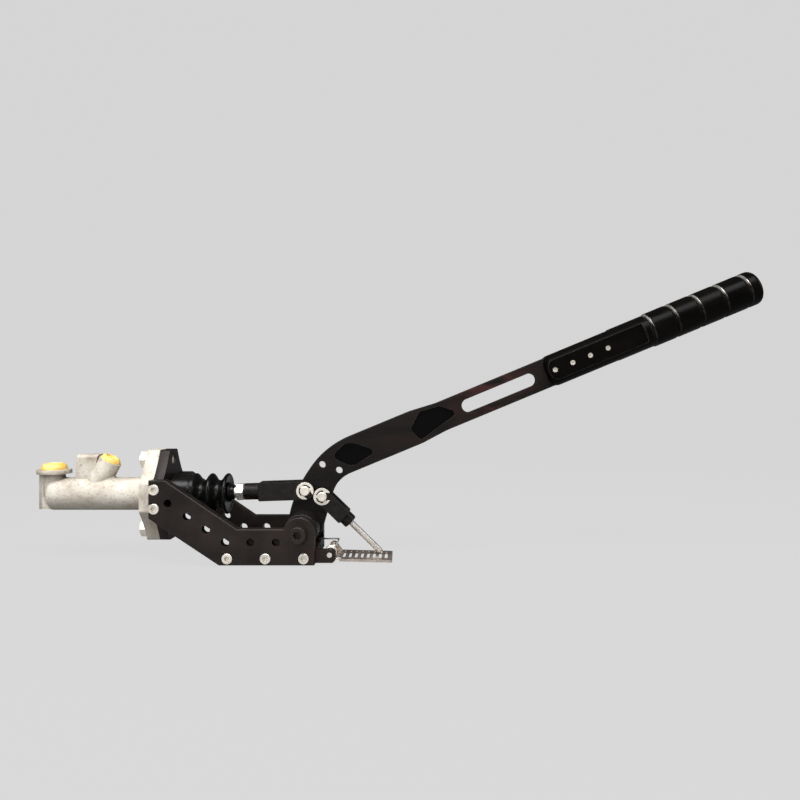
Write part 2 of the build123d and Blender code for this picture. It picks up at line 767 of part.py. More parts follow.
# Push rod: ball, neck and threaded shank, on the line from the ball to its pin
rod_plane = near_plane(0, ball_x, axis_z, push_tilt)
rod_end = push_len - push_slot_len - 2.5
ball_edge = sqrt(ball_r ** 2 - neck_r ** 2)
with BuildPart() as push_rod:
    with BuildSketch(rod_plane):
        with BuildLine():
            neck_turn = degrees(atan2(neck_r, ball_edge))
            CenterArc((0, 0), ball_r, neck_turn, 180 - neck_turn)
            Polyline((ball_edge, neck_r), (neck_len, neck_r), (neck_len + 1, m8_r), (rod_end - 0.8, m8_r),
                     (rod_end, m8_r - 0.8), (rod_end, 0), (-ball_r, 0))
        make_face()
    revolve(axis=Axis(rod_plane.origin, rod_plane.x_dir))
finish(push_rod.part, "push_rod")

nut_t = push_nut_from_pin - push_fork_end
nut_plane = Plane(origin=rod_plane.origin, x_dir=(0, 1, 0), z_dir=rod_plane.x_dir)
nut_plane = nut_plane.offset(push_len - push_nut_from_pin)
with BuildPart() as push_nut:
    add(hex_blank(m8_af, nut_t).moved(nut_plane.location))
    with BuildSketch(nut_plane):
        Circle(m8_r + fit_gap)
    extrude(amount=nut_t, mode=Mode.SUBTRACT)
finish(push_nut.part, "push_nut")

push_fork_plane = near_plane(0, push_pin[0], push_pin[1], 180 + push_tilt)
push_fork = fork(push_fork_plane, push_fork_end, push_boss_len, push_boss_r, push_fork_h, push_slot_len,
                 (push_fork_end - push_slot_len + 1, m8_r))
finish(push_fork, "push_fork")

finish(clevis_pin().moved(near_plane(0, *push_pin).location), "push_pin")
clip_y = -fork_half - side_gap / 2
finish(e_clip(clip_t).moved(near_plane(clip_y, *push_pin, -50).location), "push_clip")

# Lock rod, its fork and pin
lock_drop = lock_pin[1] - catch_t
tip_clear = lock_tip_gap + lock_tip_r * cos(radians(45))
tip_reach = lock_pin[0] + sqrt(lock_rod_len ** 2 - lock_drop ** 2) - hinge_x
tip_z = catch_t + tip_reach * tan(radians(catch_tilt)) + tip_clear
lock_angle = -degrees(asin((lock_pin[1] - tip_z) / lock_rod_len))
lock_plane = near_plane(0, *lock_pin, lock_angle)
lock_fork = fork(lock_plane, lock_fork_end, lock_boss_len, lock_boss_r, lock_fork_h, lock_slot_len,
                 (lock_fork_end - lock_slot_len + 1, lock_rod_r))
finish(lock_fork, "lock_fork")
lock_rod = turned([(lock_slot_len + 2.0, 0), (lock_slot_len + 2.0, lock_rod_r),
                   (lock_rod_len - lock_tip_len, lock_rod_r), (lock_rod_len, lock_tip_r), (lock_rod_len, 0)],
                  lock_plane)
finish(lock_rod, "lock_rod")
finish(clevis_pin().moved(near_plane(0, *lock_pin).location), "lock_pin")
finish(e_clip(clip_t).moved(near_plane(clip_y, *lock_pin).location), "lock_clip")

# Lever
neck_side = from_pivot(-9.45, 20.9)
neck_top = from_pivot(3.85, 47.1)
foot_left = from_pivot(-13.75, 2.6)
foot_low = from_pivot(0.75, 0.6 - foot_r)
foot_right = from_pivot(15.25, -0.9)
pocket_corners = (
    (((42.3, 4.1), 4.0), ((60.0, 11.0), 10.0), ((80.0, -6.0), 3.0), ((55.4, -10.3), 8.0)),
    (((112.0, 0.0), 4.0), ((124.4, 10.8), 5.0), ((142.0, 8.6), 7.0), ((154.3, -2.0), 3.0),
     ((116.5, -11.6), 3.0)),
)


def pocket_face(corners):
    """A blind pocket's outline with its own corner radii, in the side view."""
    with BuildSketch() as face:
        with BuildLine():
            FilletPolyline(*[arm(*p) for p, r in corners], radius=[r for p, r in corners], close=True)
        make_face()
    return face.sketch


with BuildPart() as lever:
    with BuildSketch(near_plane(0)) as side_view:
        with BuildLine():
            Polyline(arm(tongue_end, arm_narrow), arm(taper_end, arm_narrow), arm(taper_start, arm_wide),
                     arm(shoulder_start, arm_wide))
            ThreePointArc(arm(shoulder_start, arm_wide), from_pivot(19.0, 64.1), neck_top)
            ThreePointArc(neck_top, neck_side, foot_left)
            ThreePointArc(foot_left, foot_low, foot_right)
            Polyline(foot_right, arm(throat, -arm_wide), arm(taper_start, -arm_wide),
                     arm(taper_end, -arm_narrow), arm(tongue_end, -arm_narrow), arm(tongue_end, arm_narrow))
        make_face()
        throat_spot = Vector(*arm(throat, -arm_wide))
        fillet(side_view.vertices().sort_by_distance(throat_spot)[0], throat_r)
        for s in (taper_start, taper_end):
            for side in (1, -1):
                half = arm_wide if s == taper_start else arm_narrow
                spot = Vector(*arm(s, side * half))
                fillet(side_view.vertices().sort_by_distance(spot)[0], taper_r)
        with Locations((pivot_x, pivot_z)):
            Circle(bush_r, mode=Mode.SUBTRACT)
        with Locations(push_pin, lock_pin):
            Circle(pin_r + fit_gap, mode=Mode.SUBTRACT)
        with Locations((push_pin[0] + link_shift[0], push_pin[1] + link_shift[1]),
                       (lock_pin[0] + link_shift[0], lock_pin[1] + link_shift[1])):
            Circle(link_hole_r, mode=Mode.SUBTRACT)
        with Locations(arm(window_s, 0)):
            SlotOverall(window_len, window_w, rotation=arm_angle, mode=Mode.SUBTRACT)
        with Locations(*[arm(grip_screw_first + i * grip_screw_pitch, 0) for i in range(grip_screw_count)]):
            Circle(grip_screw_r + fit_gap, mode=Mode.SUBTRACT)
    extrude(amount=lever_half, both=True)
    for face_y in (-lever_half, lever_half):
        rim = lever.faces().filter_by(Plane.XZ).sort_by(Axis.Y)[0 if face_y < 0 else -1]
        chamfer(rim.outer_wire().edges(), edge_break)
    for face_y, depth in ((-lever_half, -pocket_depth), (lever_half, pocket_depth)):
        with BuildSketch(near_plane(face_y)):
            for corners in pocket_corners:
                add(pocket_face(corners))
        extrude(amount=depth, mode=Mode.SUBTRACT)
finish(lever.part, "lever")

with BuildPart() as pivot_bush:
    with BuildSketch(near_plane(0, pivot_x, pivot_z)):
        Circle(bush_r - 0.02)
        Circle(sleeve_r + fit_gap, mode=Mode.SUBTRACT)
    extrude(amount=lever_half, both=True)
finish(pivot_bush.part, "pivot_bush")

# Grip: a turned bar, slotted over the lever's tongue and milled flat where the screws go in
arm_origin = arm(0, 0)
grip_plane = near_plane(0, arm_origin[0], arm_origin[1], arm_angle)
with BuildPart() as grip:
    with BuildSketch(grip_plane) as half_profile:
        with BuildLine():
            Polyline((grip_start, 0), (grip_start, shank_grip_r - 1.5), (grip_start + 1.5, shank_grip_r),
                     (groove_first, shank_grip_r), (groove_first, grip_r), (grip_end - grip_r * 0.6, grip_r),
                     (grip_end - grip_r * 0.36, grip_r * 0.95), (grip_end - grip_r * 0.16, grip_r * 0.77),
                     (grip_end - grip_r * 0.04, grip_r * 0.42), (grip_end, 0), close=True)
        make_face()
        for i in range(groove_count):
            with Locations((groove_first + i * groove_pitch, grip_r)):
                Trapezoid(groove_w, 2 * groove_depth, 75, rotation=180, mode=Mode.SUBTRACT)
    revolve(axis=Axis(grip_plane.origin, grip_plane.x_dir))
    for way in (1, -1):
        with BuildSketch(near_plane(0, arm_origin[0], arm_origin[1], arm_angle).offset(way * flat_half)):
            with Locations((grip_start - 1, 0)):
                Rectangle(flat_end - grip_start + 1, 2 * grip_r, align=(low, centre))
        extrude(amount=way * grip_r, mode=Mode.SUBTRACT)
    with BuildSketch(grip_plane):
        with Locations((grip_start - 1, 0)):
            Rectangle(tongue_end + free_gap - grip_start + 1, 3 * grip_r, align=(low, centre))
    extrude(amount=lever_half + fit_gap, both=True, mode=Mode.SUBTRACT)
    with BuildSketch(grip_plane):
        with Locations(*[(grip_screw_first + i * grip_screw_pitch, 0) for i in range(grip_screw_count)]):
            Circle(grip_screw_r + fit_gap)
    extrude(amount=2 * grip_r, both=True, mode=Mode.SUBTRACT)
finish(grip.part, "grip")

screw_half = flat_half - 0.4
with BuildPart() as grip_screws:
    with BuildSketch(grip_plane):
        with Locations(*[(grip_screw_first + i * grip_screw_pitch, 0) for i in range(grip_screw_count)]):
            Circle(grip_screw_r)
    extrude(amount=screw_half, both=True)
    with BuildSketch(grip_plane.offset(screw_half)):
        with Locations(*[(grip_screw_first + i * grip_screw_pitch, 0) for i in range(grip_screw_count)]):
            RegularPolygon(grip_socket_af / 2, 6, major_radius=False)
    extrude(amount=-2.0, mode=Mode.SUBTRACT)
finish(grip_screws.part, "grip_screws")

# Catch plate: slotted steel with two lugs turned up round its hinge pin
catch_plane = near_plane(0, hinge_x, hinge_z, catch_tilt)
catch_dir = catch_plane.x_dir
catch_up = catch_plane.y_dir
catch_bottom = -hinge_z
catch_top = catch_bottom + catch_t
coil_y = ear_w - half_gap + coil_wire_r + free_gap
with BuildPart() as catch_plate:
    face_plane = Plane(origin=catch_plane.origin + catch_up * catch_top, x_dir=catch_dir, z_dir=catch_up)
    with BuildSketch(face_plane):
        with BuildLine():
            Polyline((catch_rear, catch_near), (catch_front, catch_near), (catch_front, catch_far),
                     (catch_rear, catch_far), (catch_rear, lug_inner + lug_t), (-lug_r, lug_inner + lug_t),
                     (-lug_r, -lug_inner - lug_t), (catch_rear, -lug_inner - lug_t), close=True)
        make_face()
        with Locations(*[(slot_first + i * slot_pitch, slot_mid) for i in range(slot_count)]):
            SlotOverall(slot_len, slot_w, rotation=90, mode=Mode.SUBTRACT)
        with Locations((catch_rear, coil_y)):
            Rectangle(2 * coil_notch, 3 * coil_wire_r, mode=Mode.SUBTRACT)
    extrude(amount=-catch_t)
    corner_edges = catch_plate.edges().filter_by(Axis(face_plane.origin, catch_up)).sort_by(Axis.X)[-2:]
    fillet(corner_edges, 2.0)
    for side in (1, -1):
        with BuildSketch(catch_plane.offset(side * lug_inner)):
            Circle(lug_r)
            Polygon((-lug_r, catch_bottom), (catch_rear, catch_bottom), (catch_rear, catch_top),
                    (lug_r * cos(radians(45)), lug_r * sin(radians(45))), (0, 0), (-lug_r, 0), align=None)
        extrude(amount=side * lug_t)
    with BuildSketch(catch_plane):
        Circle(hinge_r + fit_gap)
    extrude(amount=half_gap, both=True, mode=Mode.SUBTRACT)
finish(catch_plate.part, "catch_plate")

pin_far = lug_inner + lug_t + free_gap
catch_pin = turned([(-half_gap, 0), (-half_gap, hinge_r), (pin_far, hinge_r), (pin_far, hinge_head_r),
                    (pin_far + hinge_head_t, hinge_head_r), (pin_far + hinge_head_t, 0)],
                   Plane(origin=(hinge_x, 0, hinge_z), x_dir=(0, 1, 0), z_dir=(-1, 0, 0)))
finish(catch_pin, "catch_pin")

# Catch spring: a coil round the pin. One leg crosses over the lugs to rest on the base, the
# other runs forwards into the notch in the plate's rear edge.
coil_top = base_t + coil_wire_r + fit_gap
coil_r = coil_top - hinge_z
coil_far = coil_y + coil_turns * coil_pitch
leg_x = hinge_x + 4.0
leg_y = catch_far + 2.0
coil_points = [(hinge_x + catch_rear + coil_notch - coil_wire_r, coil_y, hinge_z - coil_r)]
for i in range(int(coil_turns * coil_steps) + 1):
    turn = radians(360 * i / coil_steps)
    coil_points.append((hinge_x - coil_r * sin(turn), coil_y + coil_pitch * i / coil_steps,
                        hinge_z - coil_r * cos(turn)))
coil_points += corner_bend((leg_x, coil_far, coil_top), (1, 0, 0), (0, 1, 0), leg_bend_r)
coil_points += corner_bend((leg_x, leg_y, coil_top), (0, 1, 0), (-1, 0, 0), leg_bend_r)
coil_points.append((base_front - 3, leg_y, coil_top))
finish(wire_piece(coil_points, coil_wire_r), "catch_spring")

# Rubber boot: a plain sleeve on the cylinder's spigot, then two folds down to the push rod
boot_in = spigot_r + fit_gap
boot_out = boot_in + boot_wall
boot_slant = boot_wall / cos(atan2(boot_peak_r - boot_valley_r, boot_fold))
boot_nose_r = boot_peak_r - 1.5
boot_outside = [(bracket_front + side_gap, boot_out), (boot_rear, boot_out)]
boot_inside = [(bracket_front + side_gap, boot_in), (boot_rear, boot_in)]
for i in range(1, 5):
    fold_r = boot_valley_r if i % 2 else boot_peak_r
    boot_outside.append((boot_rear + i * boot_fold, fold_r + boot_slant / 2))
    boot_inside.append((boot_rear + i * boot_fold, fold_r - boot_slant / 2))
boot_outside += [(boot_end, boot_nose_r), (boot_end, m8_r / 2)]
boot_inside += [(boot_end - boot_wall, boot_nose_r - 0.4), (boot_end - boot_wall, m8_r / 2)]
with BuildPart() as boot:
    add(turned(boot_outside + boot_inside[::-1], bore_axis))
    with BuildSketch(nut_plane):
        Circle(m8_r + fit_gap)
    extrude(amount=-30, mode=Mode.SUBTRACT)
finish(boot.part, "boot")
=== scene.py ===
# %% [markdown]
# This notebook dresses a hydraulic hand brake: a cast master cylinder on a black
# two-plate frame, worked by a long lever. The solid parts come from the CAD frame,
# already in place. Blender adds the finishes, the soft parts and the studio. Every
# length below is in metres.

# %% Load the frame and note its size
import math
import bpy
import bmesh
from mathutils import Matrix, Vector


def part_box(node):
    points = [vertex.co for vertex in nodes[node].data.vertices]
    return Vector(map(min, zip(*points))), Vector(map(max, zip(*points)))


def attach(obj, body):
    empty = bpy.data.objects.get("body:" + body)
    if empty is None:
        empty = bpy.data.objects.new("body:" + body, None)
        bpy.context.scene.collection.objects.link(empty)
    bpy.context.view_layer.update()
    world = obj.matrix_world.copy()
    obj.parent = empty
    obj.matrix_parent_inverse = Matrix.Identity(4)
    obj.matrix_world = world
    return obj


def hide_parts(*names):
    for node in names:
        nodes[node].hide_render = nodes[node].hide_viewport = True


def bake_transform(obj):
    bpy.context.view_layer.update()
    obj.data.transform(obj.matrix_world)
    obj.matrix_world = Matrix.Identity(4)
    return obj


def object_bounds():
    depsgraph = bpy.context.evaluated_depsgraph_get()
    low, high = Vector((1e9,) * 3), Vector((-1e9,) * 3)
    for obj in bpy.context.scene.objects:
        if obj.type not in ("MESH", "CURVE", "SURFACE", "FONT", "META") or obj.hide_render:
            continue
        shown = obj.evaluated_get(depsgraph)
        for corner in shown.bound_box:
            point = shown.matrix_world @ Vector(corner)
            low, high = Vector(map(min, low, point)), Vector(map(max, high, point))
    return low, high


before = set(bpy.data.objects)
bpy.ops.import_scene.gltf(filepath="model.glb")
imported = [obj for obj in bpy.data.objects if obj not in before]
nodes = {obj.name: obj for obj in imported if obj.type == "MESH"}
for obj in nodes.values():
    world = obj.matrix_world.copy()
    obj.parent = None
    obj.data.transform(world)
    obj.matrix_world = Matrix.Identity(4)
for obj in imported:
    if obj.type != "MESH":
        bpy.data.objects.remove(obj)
cad_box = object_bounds()

# %% [markdown]
# The camera looks level at the brake's near side, from half a metre away and about half
# way up it. A longer lens from further off would frame it as well, but would flatten it:
# a focal length of 28.5 mm on a 36 mm sensor gives the photo's own perspective, which
# shows in how far one can see through each hole of the plates.

# %% The camera
camera_data = bpy.data.cameras.new("camera")
camera_data.sensor_width = 36.0
camera_data.sensor_fit = "HORIZONTAL"
camera_data.lens = 28.53
camera_data.clip_start = 0.02
camera = bpy.data.objects.new("camera", camera_data)
camera.location = (0.10565, -0.530, 0.1296)
camera.rotation_euler = (math.radians(90), 0, 0)
bpy.context.scene.collection.objects.link(camera)
bpy.context.scene.camera = camera
bpy.context.scene.view_settings.view_transform = "Standard"
print("camera", tuple(camera.location), "lens", round(camera_data.lens, 2))

# %% [markdown]
# Every finish below is a shader fed by a few procedural nodes. Pictures could be wrapped
# round the pieces instead, but noise needs no unwrapping and has no seams. Adding nodes
# takes many lines in plain Blender, so this class gives the common ones short names.


# %% A helper for node trees
class Nodes:
    """Adds nodes to a tree and joins their sockets."""

    def __init__(self, tree):
        self.tree = tree

    def node(self, kind, **settings):
        made = self.tree.nodes.new("ShaderNode" + kind)
        for key, value in settings.items():
            setattr(made, key, value)
        return made

    def join(self, source, target):
        self.tree.links.new(source, target)

    def calculate(self, operation, *values):
        """What a Math node makes of the values, each a number or a socket."""
        made = self.node("Math", operation=operation)
        for socket, value in zip(made.inputs, values):
            if isinstance(value, (int, float)):
                socket.default_value = value
            else:
                self.join(value, socket)
        return made.outputs[0]

    def times(self, first, *others):
        for other in others:
            first = self.calculate("MULTIPLY", first, other)
        return first

    def spread(self, source, low, high, from_low=0.3, from_high=0.7):
        """Stretch the source's range to run from low to high, and hold it at both ends."""
        made = self.node("MapRange")
        made.inputs["From Min"].default_value = from_low
        made.inputs["From Max"].default_value = from_high
        made.inputs["To Min"].default_value = low
        made.inputs["To Max"].default_value = high
        self.join(source, made.inputs["Value"])
        return made.outputs["Result"]

    def ramp(self, source, *stops):
        made = self.node("ValToRGB")
        while len(made.color_ramp.elements) < len(stops):
            made.color_ramp.elements.new(0.5)
        for element, (position, colour) in zip(made.color_ramp.elements, stops):
            element.position = position
            element.color = (*colour, 1)
        self.join(source, made.inputs["Fac"])
        return made.outputs["Color"]

    def mix(self, factor, first, second):
        """The first colour where the factor is 0 and the second where it is 1."""
        made = self.node("Mix", data_type="RGBA")
        self.join(factor, made.inputs["Factor"])
        for socket, value in ((made.inputs[6], first), (made.inputs[7], second)):
            if isinstance(value, tuple):
                socket.default_value = (*value, 1)
            else:
                self.join(value, socket)
        return made.outputs[2]


# %% [markdown]
# A finish is one Principled material. Its noises are placed in the piece's own
# coordinates, so that they move with the piece when a joint turns.


# %% A helper for finishes
class Finish(Nodes):
    """One Principled material, with noises and bumps."""

    def __init__(self, name, colour, metallic, roughness, specular=0.5):
        self.material = bpy.data.materials.new(name)
        self.material.use_nodes = True
        super().__init__(self.material.node_tree)
        self.shader = self.tree.nodes["Principled BSDF"]
        self.shader.inputs["Base Color"].default_value = (*colour, 1)
        self.shader.inputs["Metallic"].default_value = metallic
        self.shader.inputs["Roughness"].default_value = roughness
        self.shader.inputs["Specular IOR Level"].default_value = specular
        self.place = self.node("TexCoord").outputs["Object"]

    def set(self, socket, source):
        self.join(source, self.shader.inputs[socket])

    def noise(self, scale, detail=4.0, stretch=(1, 1, 1), turn=0.0, roughness=0.55):
        mapping = self.node("Mapping")
        mapping.inputs["Rotation"].default_value = (0, turn, 0)
        mapping.inputs["Scale"].default_value = stretch
        texture = self.node("TexNoise")
        texture.inputs["Scale"].default_value = scale
        texture.inputs["Detail"].default_value = detail
        texture.inputs["Roughness"].default_value = roughness
        self.join(self.place, mapping.inputs["Vector"])
        self.join(mapping.outputs["Vector"], texture.inputs["Vector"])
        return texture.outputs["Fac"]

    def bump(self, source, distance, strength=1.0, after=None):
        made = self.node("Bump")
        made.inputs["Distance"].default_value = distance
        made.inputs["Strength"].default_value = strength
        self.join(source, made.inputs["Height"])
        if after is not None:
            self.join(after, made.inputs["Normal"])
        return made.outputs["Normal"]


# %% [markdown]
# Real parts wear most at their edges, and the darkening in corners and on undersides here
# is painted shade. These could be painted by hand, but a shader can find them: sharp edges
# from a rounded normal, inner corners from how shut in a point is, and the facing from the normal itself.


# %% Helpers for worn edges and painted shade
def rubbed(finish, width, amount, start=0.0):
    """Up to the amount on sharp edges and 0 on open faces."""
    rounded = finish.node("Bevel", samples=4)
    rounded.inputs["Radius"].default_value = width
    turned_away = finish.node("VectorMath", operation="DOT_PRODUCT")
    finish.join(rounded.outputs["Normal"], turned_away.inputs[0])
    finish.join(finish.node("NewGeometry").outputs["Normal"], turned_away.inputs[1])
    sharp = finish.spread(turned_away.outputs["Value"], 1.0, 0.0, 0.80, 0.99)
    return finish.spread(sharp, 0.0, amount, start, 1.0)


def creases(finish, distance, amount):
    """Up to the amount in inner corners, where shade falls, and 0 on open faces: a mask for painted shade.
    """
    shade = finish.node("AmbientOcclusion", samples=6, only_local=True)
    shade.inputs["Distance"].default_value = distance
    return finish.spread(finish.spread(shade.outputs["AO"], 1.0, 0.0, 0.45, 0.92), 0.0, amount, 0.0, 1.0)


def part(finish, vector, axis):
    split = finish.node("SeparateXYZ")
    finish.join(vector, split.inputs[0])
    return split.outputs[axis]


def facing(finish, axis):
    """How far the surface faces along an axis, from -1 to 1."""
    return part(finish, finish.node("NewGeometry").outputs["Normal"], axis)


def along(finish, direction):
    """How far a point lies along a direction."""
    reach = finish.node("VectorMath", operation="DOT_PRODUCT")
    reach.inputs[1].default_value = direction
    finish.join(finish.place, reach.inputs[0])
    return reach.outputs["Value"]


def wear(names, finish):
    """Give these CAD nodes the finish."""
    for name in names:
        nodes[name].data.materials.clear()
        nodes[name].data.materials.append(finish.material)
    print(finish.material.name, "on", ", ".join(names))


# %% [markdown]
# The cylinder is a sand-blasted aluminium casting. Blasting leaves a soft grain that
# scatters the light, so the metal looks cream rather than shiny. One flat colour would
# look too clean: noises make the grain, the small pits, the darker marks and the cloudy
# stains. The corners and the underside are painted darker as shade, and the edges are
# rubbed a little brighter.

# %% Cast aluminium
cast = Finish("cast_aluminium", (0.60, 0.56, 0.50), 0.2, 0.6)
clouds = cast.noise(70, 6.0)
stained = cast.ramp(clouds, (0.30, (0.36, 0.30, 0.24)), (0.45, (0.54, 0.49, 0.415)),
                    (0.68, (0.68, 0.64, 0.57)))
pits = cast.spread(cast.noise(650, 3.0), 0.7, 0.0, 0.32, 0.43)
pitted = cast.mix(pits, stained, (0.30, 0.255, 0.21))
marks = cast.spread(cast.noise(230, 5.0, roughness=0.75), 0.75, 0.0, 0.33, 0.40)
marked = cast.mix(marks, pitted, (0.24, 0.195, 0.15))
# Painted shade: darker in the inner corners and towards the underside.
corner_shaded = cast.mix(creases(cast, 0.005, 0.9), marked, (0.16, 0.125, 0.09))
painted_underside_shade = cast.spread(facing(cast, "Z"), 0.7, 0.0, -1.0, 0.0)
corner_and_underside_shaded = cast.mix(painted_underside_shade, corner_shaded, (0.17, 0.145, 0.12))
grain = cast.noise(1100, 4.0, roughness=0.7)
cast.set("Base Color", cast.mix(rubbed(cast, 0.0006, 0.6), corner_and_underside_shaded, (0.70, 0.67, 0.61)))
cast.set("Roughness", cast.spread(clouds, 0.5, 0.72))
cast.set("Normal", cast.bump(grain, 0.00035, 0.7, cast.bump(clouds, 0.0007, 0.4)))
wear(["cylinder_body"], cast)

# %% [markdown]
# The plates are aluminium, cut, blasted and anodised black. One flat black would hide
# their shape, so clouds of a browner and a redder black run over it: the dye has that
# cast under a strong light. Handling rubs the sharp edges lighter.


# %% Black anodised plates
def black_anodised(name, dark, light, shine, turn=0.0, stretch=(1, 1, 1)):
    finish = Finish(name, dark, 0.3, 0.45, shine)
    clouds = finish.noise(35, 4.0, stretch, turn)
    redder = (light[0] * 1.35, light[1] * 0.9, light[2] * 0.9)
    dye = finish.ramp(clouds, (0.32, dark), (0.60, light), (0.72, redder))
    finish.set("Base Color", finish.mix(rubbed(finish, 0.0005, 0.45), dye, (0.12, 0.11, 0.105)))
    finish.set("Roughness", finish.spread(clouds, 0.38, 0.52))
    finish.set("Normal", finish.bump(finish.noise(2600, 2.0), 0.00002, 0.4))
    return finish


plates = black_anodised("black_anodised_plate", (0.0095, 0.0068, 0.0058), (0.021, 0.0152, 0.0130), 0.26)
wear(["side_plate_near", "side_plate_far", "base_plate", "front_bracket"], plates)
turned = black_anodised("black_anodised_turned", (0.008, 0.0068, 0.0060), (0.015, 0.0128, 0.0115), 0.3)
wear(["pivot_spacer_near", "pivot_spacer_far"], turned)

# %% [markdown]
# The lever is cut from 8 mm plate and anodised with the rest, but its faces were ground
# along their length first, so the noise is stretched along the arm. The floors of the
# milled pockets are smoother, and are painted a deeper black as shade in the recess. They
# could be chosen face by face, but a rule is simpler: a side face that lies nearer the
# middle plane than 3.5 mm is a floor.

# %% Lever faces and pocket floors
arm_angle = math.radians(22.5)
arm_dir = Vector((math.cos(arm_angle), 0, math.sin(arm_angle)))
arm_metal = black_anodised("black_anodised_lever", (0.0052, 0.0045, 0.0040), (0.0112, 0.0084, 0.0073), 0.14,
                           arm_angle, (0.5, 1, 3))
face_dye = arm_metal.shader.inputs["Base Color"].links[0].from_socket
floor_from = 0.0035
floor_blend = 0.0004
off_middle = arm_metal.calculate("ABSOLUTE", part(arm_metal, arm_metal.place, "Y"))
sideways = arm_metal.calculate("ABSOLUTE", facing(arm_metal, "Y"))
sunk = arm_metal.times(arm_metal.spread(off_middle, 1.0, 0.0, floor_from - floor_blend, floor_from),
                       arm_metal.spread(sideways, 0.0, 1.0, 0.8, 0.95))
arm_metal.set("Specular IOR Level", arm_metal.spread(sunk, 0.14, 0.08, 0.0, 1.0))
arm_metal.set("Roughness", arm_metal.spread(sunk, 0.45, 0.38, 0.0, 1.0))
print("lever dye", round(math.degrees(arm_angle), 1), "degrees, pocket floors under", floor_from)

# %% [markdown]
# Redder patches about the long window are a painted reflection, a red sheen on the dye.
# Noise makes the patches, and the distance along the arm keeps them to that stretch, with soft ends.

# %% Painted red sheen about the lever's window
patches = arm_metal.spread(arm_metal.noise(48, 3.0, (0.7, 1, 1.6), arm_angle), 0.0, 0.9, 0.42, 0.62)
reach = along(arm_metal, arm_dir)
painted_red_sheen = arm_metal.times(patches, arm_metal.spread(reach, 0.0, 1.0, 0.175, 0.215),
                           arm_metal.spread(reach, 1.0, 0.0, 0.235, 0.260))
# Painted reflection: red patches about the window.
patched = arm_metal.mix(painted_red_sheen, face_dye, (0.058, 0.020, 0.018))
# The pocket floors are painted near black: painted shade in the recesses.
arm_metal.set("Base Color", arm_metal.mix(sunk, patched, (0.0010, 0.0010, 0.0010)))
wear(["lever"], arm_metal)

# %% [markdown]
# The grip is turned bar, polished before it was anodised: the black is deep and the
# light from above shows only as thin bright lines. A low roughness gives that gloss, a
# fine grain breaks it up, and the edges are painted lighter, partly as wear and partly as painted highlight
# lines.

# %% Gloss black of the grip
gloss = Finish("gloss_black_grip", (0.0018, 0.0015, 0.0013), 0.0, 0.16, 0.045)
smears = gloss.noise(60, 4.0, (0.4, 1, 1), arm_angle)
deep_black = gloss.ramp(smears, (0.35, (0.0014, 0.0012, 0.0011)), (0.7, (0.0036, 0.0028, 0.0023)))
# Lighter edges: wear, and painted highlight lines along the edges.
handled_and_highlit = gloss.mix(rubbed(gloss, 0.0009, 0.8, 0.1), deep_black, (0.075, 0.068, 0.060))
gloss.set("Roughness", gloss.spread(smears, 0.24, 0.36))
gloss.set("Normal", gloss.bump(gloss.noise(900, 2.0, (4, 1, 1), arm_angle), 0.000006, 0.4))
print("gloss black", gloss.material.name)

# %% [markdown]
# One flank of each finger groove is painted as a bright metal glint. Five rings could be painted one
# by one, but the grooves are evenly spaced along the arm: one distance along it, folded
# back and forth at half the spacing, finds that flank in all five. The glint is painted on
# the upward faces, where the light from above falls, in patches.

# %% Painted glints on the flanks of the grooves
arm_up = Vector((-math.sin(arm_angle), 0, math.cos(arm_angle)))
bush_low, bush_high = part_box("pivot_bush")
pivot = Vector(((bush_low[0] + bush_high[0]) / 2, 0, (bush_low[2] + bush_high[2]) / 2))
groove_first = 0.3259
groove_pitch = 0.0214
groove_depth = 0.0016
groove_half = 0.0019
flank_share = 0.62

flank = pivot.dot(arm_dir) + groove_first + groove_half * flank_share
from_flank = gloss.calculate("SUBTRACT", along(gloss, arm_dir), flank)
folded = gloss.calculate("PINGPONG", from_flank, groove_pitch / 2)
on_flank = gloss.spread(folded, 1.0, 0.0, 0.0003, 0.0007)
on_handle = gloss.spread(from_flank, 0.0, 1.0, -0.001, -0.0005)
glint_upward = gloss.spread(facing(gloss, "Z"), 0.03, 1.0, -0.12, 0.16)
patchy = gloss.spread(gloss.noise(220, 3.0), 0.2, 1.0, 0.35, 0.6)
flank_glint = gloss.times(on_flank, on_handle, glint_upward, patchy)
# Painted highlight: the flanks' glint is a light metal colour, on upward faces only.
gloss.set("Base Color", gloss.mix(flank_glint, handled_and_highlit, (0.72, 0.69, 0.64)))
gloss.set("Metallic", flank_glint)
print("first groove", groove_first, "from the pivot at", [round(c, 4) for c in pivot])

# %% [markdown]
# Screws, clips and pins are zinc plated and bright. The rod and the slotted plate are
# plainer steel, with drawn streaks. Metal takes its look from what it reflects, and a
# little noise in the roughness keeps the reflections from being perfect. Zinc plating is
# slightly milky, so it isn't set as a full metal.


# %% Bright and plain steel
def steel(name, colour, low, high, stretch=(1, 1, 1), turn=0.0, metal=1.0):
    """A steel whose roughness runs from low to high."""
    finish = Finish(name, colour, metal, (low + high) / 2)
    smudge = finish.noise(160, 3.0, stretch, turn)
    darker = tuple(0.84 * c for c in colour)
    finish.set("Base Color", finish.ramp(smudge, (0.3, darker), (0.6, colour)))
    finish.set("Roughness", finish.spread(smudge, low, high))
    finish.set("Normal", finish.bump(finish.noise(1500, 2.0, stretch, turn), 0.0000022, 0.4))
    return finish


